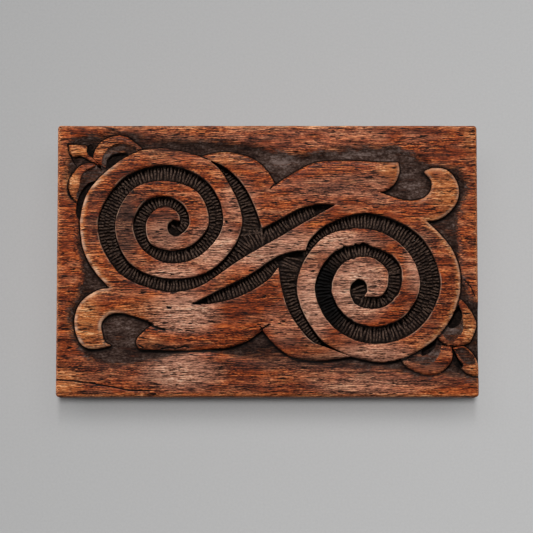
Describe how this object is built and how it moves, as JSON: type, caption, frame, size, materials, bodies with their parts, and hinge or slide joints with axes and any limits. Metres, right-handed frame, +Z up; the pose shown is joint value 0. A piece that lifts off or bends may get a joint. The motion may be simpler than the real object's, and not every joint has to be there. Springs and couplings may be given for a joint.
{
  "type": "carved wooden box",
  "caption": "Rectangular hardwood box with a back-hinged lid, the lid's face carved in relief with linked spirals, leaves, hooks and corner petals.",
  "frame": {"origin": "middle of the underside, on the surface that the box stands on", "axes": "+X along the box's length, to the right as the carving is seen; +Y from the front wall towards the hinges; +Z up through the carved lid"},
  "size_m": [0.21, 0.136, 0.074],
  "materials": {
    "carved_hardwood": "oiled, hand-worn, with blackened recesses",
    "plain_hardwood": "oiled, planed",
    "peg_hardwood": "end grain, cut flush",
    "hinge_brass": "aged, rubbed"
  },
  "bodies": {
    "box": {"bottom_board": "plain_hardwood", "front_wall": "plain_hardwood", "back_wall": "plain_hardwood", "left_wall": "plain_hardwood", "right_wall": "plain_hardwood", "corner_peg_front_left_1": "peg_hardwood", "corner_peg_front_left_2": "peg_hardwood", "corner_peg_front_left_3": "peg_hardwood", "corner_peg_front_right_1": "peg_hardwood", "corner_peg_front_right_2": "peg_hardwood", "corner_peg_front_right_3": "peg_hardwood", "corner_peg_back_left_1": "peg_hardwood", "corner_peg_back_left_2": "peg_hardwood", "corner_peg_back_left_3": "peg_hardwood", "corner_peg_back_right_1": "peg_hardwood", "corner_peg_back_right_2": "peg_hardwood", "corner_peg_back_right_3": "peg_hardwood", "bottom_peg_1": "peg_hardwood", "bottom_peg_2": "peg_hardwood", "bottom_peg_3": "peg_hardwood", "bottom_peg_4": "peg_hardwood", "bottom_peg_5": "peg_hardwood", "bottom_peg_6": "peg_hardwood", "bottom_peg_7": "peg_hardwood", "bottom_peg_8": "peg_hardwood", "left_hinge_body_leaf": "hinge_brass", "left_hinge_pin": "hinge_brass", "left_hinge_body_screw_1": "hinge_brass", "left_hinge_body_screw_2": "hinge_brass", "left_hinge_body_screw_3": "hinge_brass", "right_hinge_body_leaf": "hinge_brass", "right_hinge_pin": "hinge_brass", "right_hinge_body_screw_1": "hinge_brass", "right_hinge_body_screw_2": "hinge_brass", "right_hinge_body_screw_3": "hinge_brass"},
    "lid": {"carved_lid": "carved_hardwood", "left_hinge_lid_leaf": "hinge_brass", "left_hinge_lid_screw_1": "hinge_brass", "left_hinge_lid_screw_2": "hinge_brass", "left_hinge_lid_screw_3": "hinge_brass", "right_hinge_lid_leaf": "hinge_brass", "right_hinge_lid_screw_1": "hinge_brass", "right_hinge_lid_screw_2": "hinge_brass", "right_hinge_lid_screw_3": "hinge_brass"}
  },
  "joints": [
    {"name": "lid_hinge", "type": "hinge", "parent": "box", "child": "lid", "pos_m": [0, 0.06505, 0.06], "axis": [-1, 0, 0], "range_deg": [0, 125]}
  ]
}
